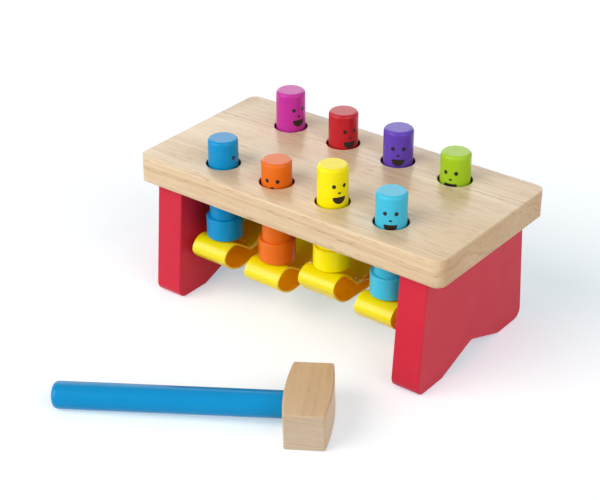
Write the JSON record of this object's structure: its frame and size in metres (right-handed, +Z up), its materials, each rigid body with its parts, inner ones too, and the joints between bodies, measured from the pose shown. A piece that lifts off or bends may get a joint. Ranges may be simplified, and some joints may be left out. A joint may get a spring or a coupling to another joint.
{
  "type": "peg pounding bench",
  "caption": "Toy pounding bench: wooden top on end legs with collared smiling pegs; striking a peg rocks a plastic band that lifts the peg behind it. A wooden mallet lies in front.",
  "frame": {"origin": "on the surface the set stands on, under the middle of the box round the whole set, mallet included", "axes": "+X to the right along the bench, +Y from the mallet's side to the rear row of pegs, +Z up"},
  "size_m": [0.26, 0.293, 0.1373],
  "materials": {
    "top_wood": "clear lacquer on pale close-grained wood",
    "leg_paint": "satin red paint on wood",
    "dowel_wood": "plain turned wood",
    "band_plastic": "glossy, slightly translucent yellow plastic strip",
    "rivet_plastic": "glossy yellow plastic",
    "mallet_wood": "clear lacquer on warm tan wood",
    "handle_paint": "gloss blue paint on wood",
    "face_paint": "dark brown paint marks over the pegs' paint",
    "blue_paint": "gloss blue paint on turned wood",
    "orange_paint": "gloss orange paint on turned wood",
    "yellow_paint": "gloss yellow paint on turned wood",
    "sky_paint": "gloss sky blue paint on turned wood",
    "magenta_paint": "gloss magenta paint on turned wood",
    "red_paint": "gloss red paint on turned wood",
    "purple_paint": "gloss purple paint on turned wood",
    "lime_paint": "gloss lime paint on turned wood"
  },
  "bodies": {
    "bench": {"tabletop": "top_wood", "left_leg": "leg_paint", "right_leg": "leg_paint", "left_leg_dowels": "dowel_wood", "right_leg_dowels": "dowel_wood", "pivot_dowel": "dowel_wood"},
    "blue_rocker": {"blue_band": "band_plastic", "blue_band_rivets": "rivet_plastic"},
    "blue_peg": {"blue_peg": "blue_paint"},
    "magenta_peg": {"magenta_peg": "magenta_paint"},
    "orange_rocker": {"orange_band": "band_plastic", "orange_band_rivets": "rivet_plastic"},
    "orange_peg": {"orange_peg": "orange_paint"},
    "red_peg": {"red_peg": "red_paint"},
    "yellow_rocker": {"yellow_band": "band_plastic", "yellow_band_rivets": "rivet_plastic"},
    "yellow_peg": {"yellow_peg": "yellow_paint"},
    "purple_peg": {"purple_peg": "purple_paint"},
    "sky_rocker": {"sky_band": "band_plastic", "sky_band_rivets": "rivet_plastic"},
    "sky_peg": {"sky_peg": "sky_paint"},
    "lime_peg": {"lime_peg": "lime_paint"},
    "mallet": {"mallet_head": "mallet_wood", "mallet_handle": "handle_paint"}
  },
  "joints": [
    {"name": "blue_rock", "type": "hinge", "parent": "bench", "child": "blue_rocker", "pos_m": [0, 0.07951, 0.044], "axis": [1, 0, 0], "range_deg": [-25.46, 14.3]},
    {"name": "blue_lift", "type": "slide", "parent": "bench", "child": "blue_peg", "axis": [0, 0, 1], "range_m": [-0.0118, 0.021]},
    {"name": "magenta_lift", "type": "slide", "parent": "bench", "child": "magenta_peg", "axis": [0, 0, 1], "range_m": [-0.021, 0.0118]},
    {"name": "orange_rock", "type": "hinge", "parent": "bench", "child": "orange_rocker", "pos_m": [0, 0.07951, 0.044], "axis": [1, 0, 0], "range_deg": [-29.01, 18.7]},
    {"name": "orange_lift", "type": "slide", "parent": "bench", "child": "orange_peg", "axis": [0, 0, 1], "range_m": [-0.01521, 0.0236]},
    {"name": "red_lift", "type": "slide", "parent": "bench", "child": "red_peg", "axis": [0, 0, 1], "range_m": [-0.02357, 0.0152]},
    {"name": "yellow_rock", "type": "hinge", "parent": "bench", "child": "yellow_rocker", "pos_m": [0, 0.07951, 0.044], "axis": [1, 0, 0], "range_deg": [-15.15, 17.79]},
    {"name": "yellow_lift", "type": "slide", "parent": "bench", "child": "yellow_peg", "axis": [0, 0, 1], "range_m": [-0.0148, 0.0126]},
    {"name": "purple_lift", "type": "slide", "parent": "bench", "child": "purple_peg", "axis": [0, 0, 1], "range_m": [-0.0126, 0.0148]},
    {"name": "sky_rock", "type": "hinge", "parent": "bench", "child": "sky_rocker", "pos_m": [0, 0.07951, 0.044], "axis": [1, 0, 0], "range_deg": [-21.52, 23.48]},
    {"name": "sky_lift", "type": "slide", "parent": "bench", "child": "sky_peg", "axis": [0, 0, 1], "range_m": [-0.0192, 0.0176]},
    {"name": "lime_lift", "type": "slide", "parent": "bench", "child": "lime_peg", "axis": [0, 0, 1], "range_m": [-0.0176, 0.0192]},
    {"name": "mallet_lift", "type": "slide", "parent": "bench", "child": "mallet", "axis": [0, 0, 1], "range_m": [0, 0.1]}
  ],
  "couplings": [
    {"joint": "blue_lift", "follows": "blue_rock", "m_per_rad": -0.04725},
    {"joint": "magenta_lift", "follows": "blue_rock", "m_per_rad": 0.04725},
    {"joint": "orange_lift", "follows": "orange_rock", "m_per_rad": -0.0466},
    {"joint": "red_lift", "follows": "orange_rock", "m_per_rad": 0.04655},
    {"joint": "yellow_lift", "follows": "yellow_rock", "m_per_rad": -0.04765},
    {"joint": "purple_lift", "follows": "yellow_rock", "m_per_rad": 0.04765},
    {"joint": "sky_lift", "follows": "sky_rock", "m_per_rad": -0.04685},
    {"joint": "lime_lift", "follows": "sky_rock", "m_per_rad": 0.04685}
  ]
}
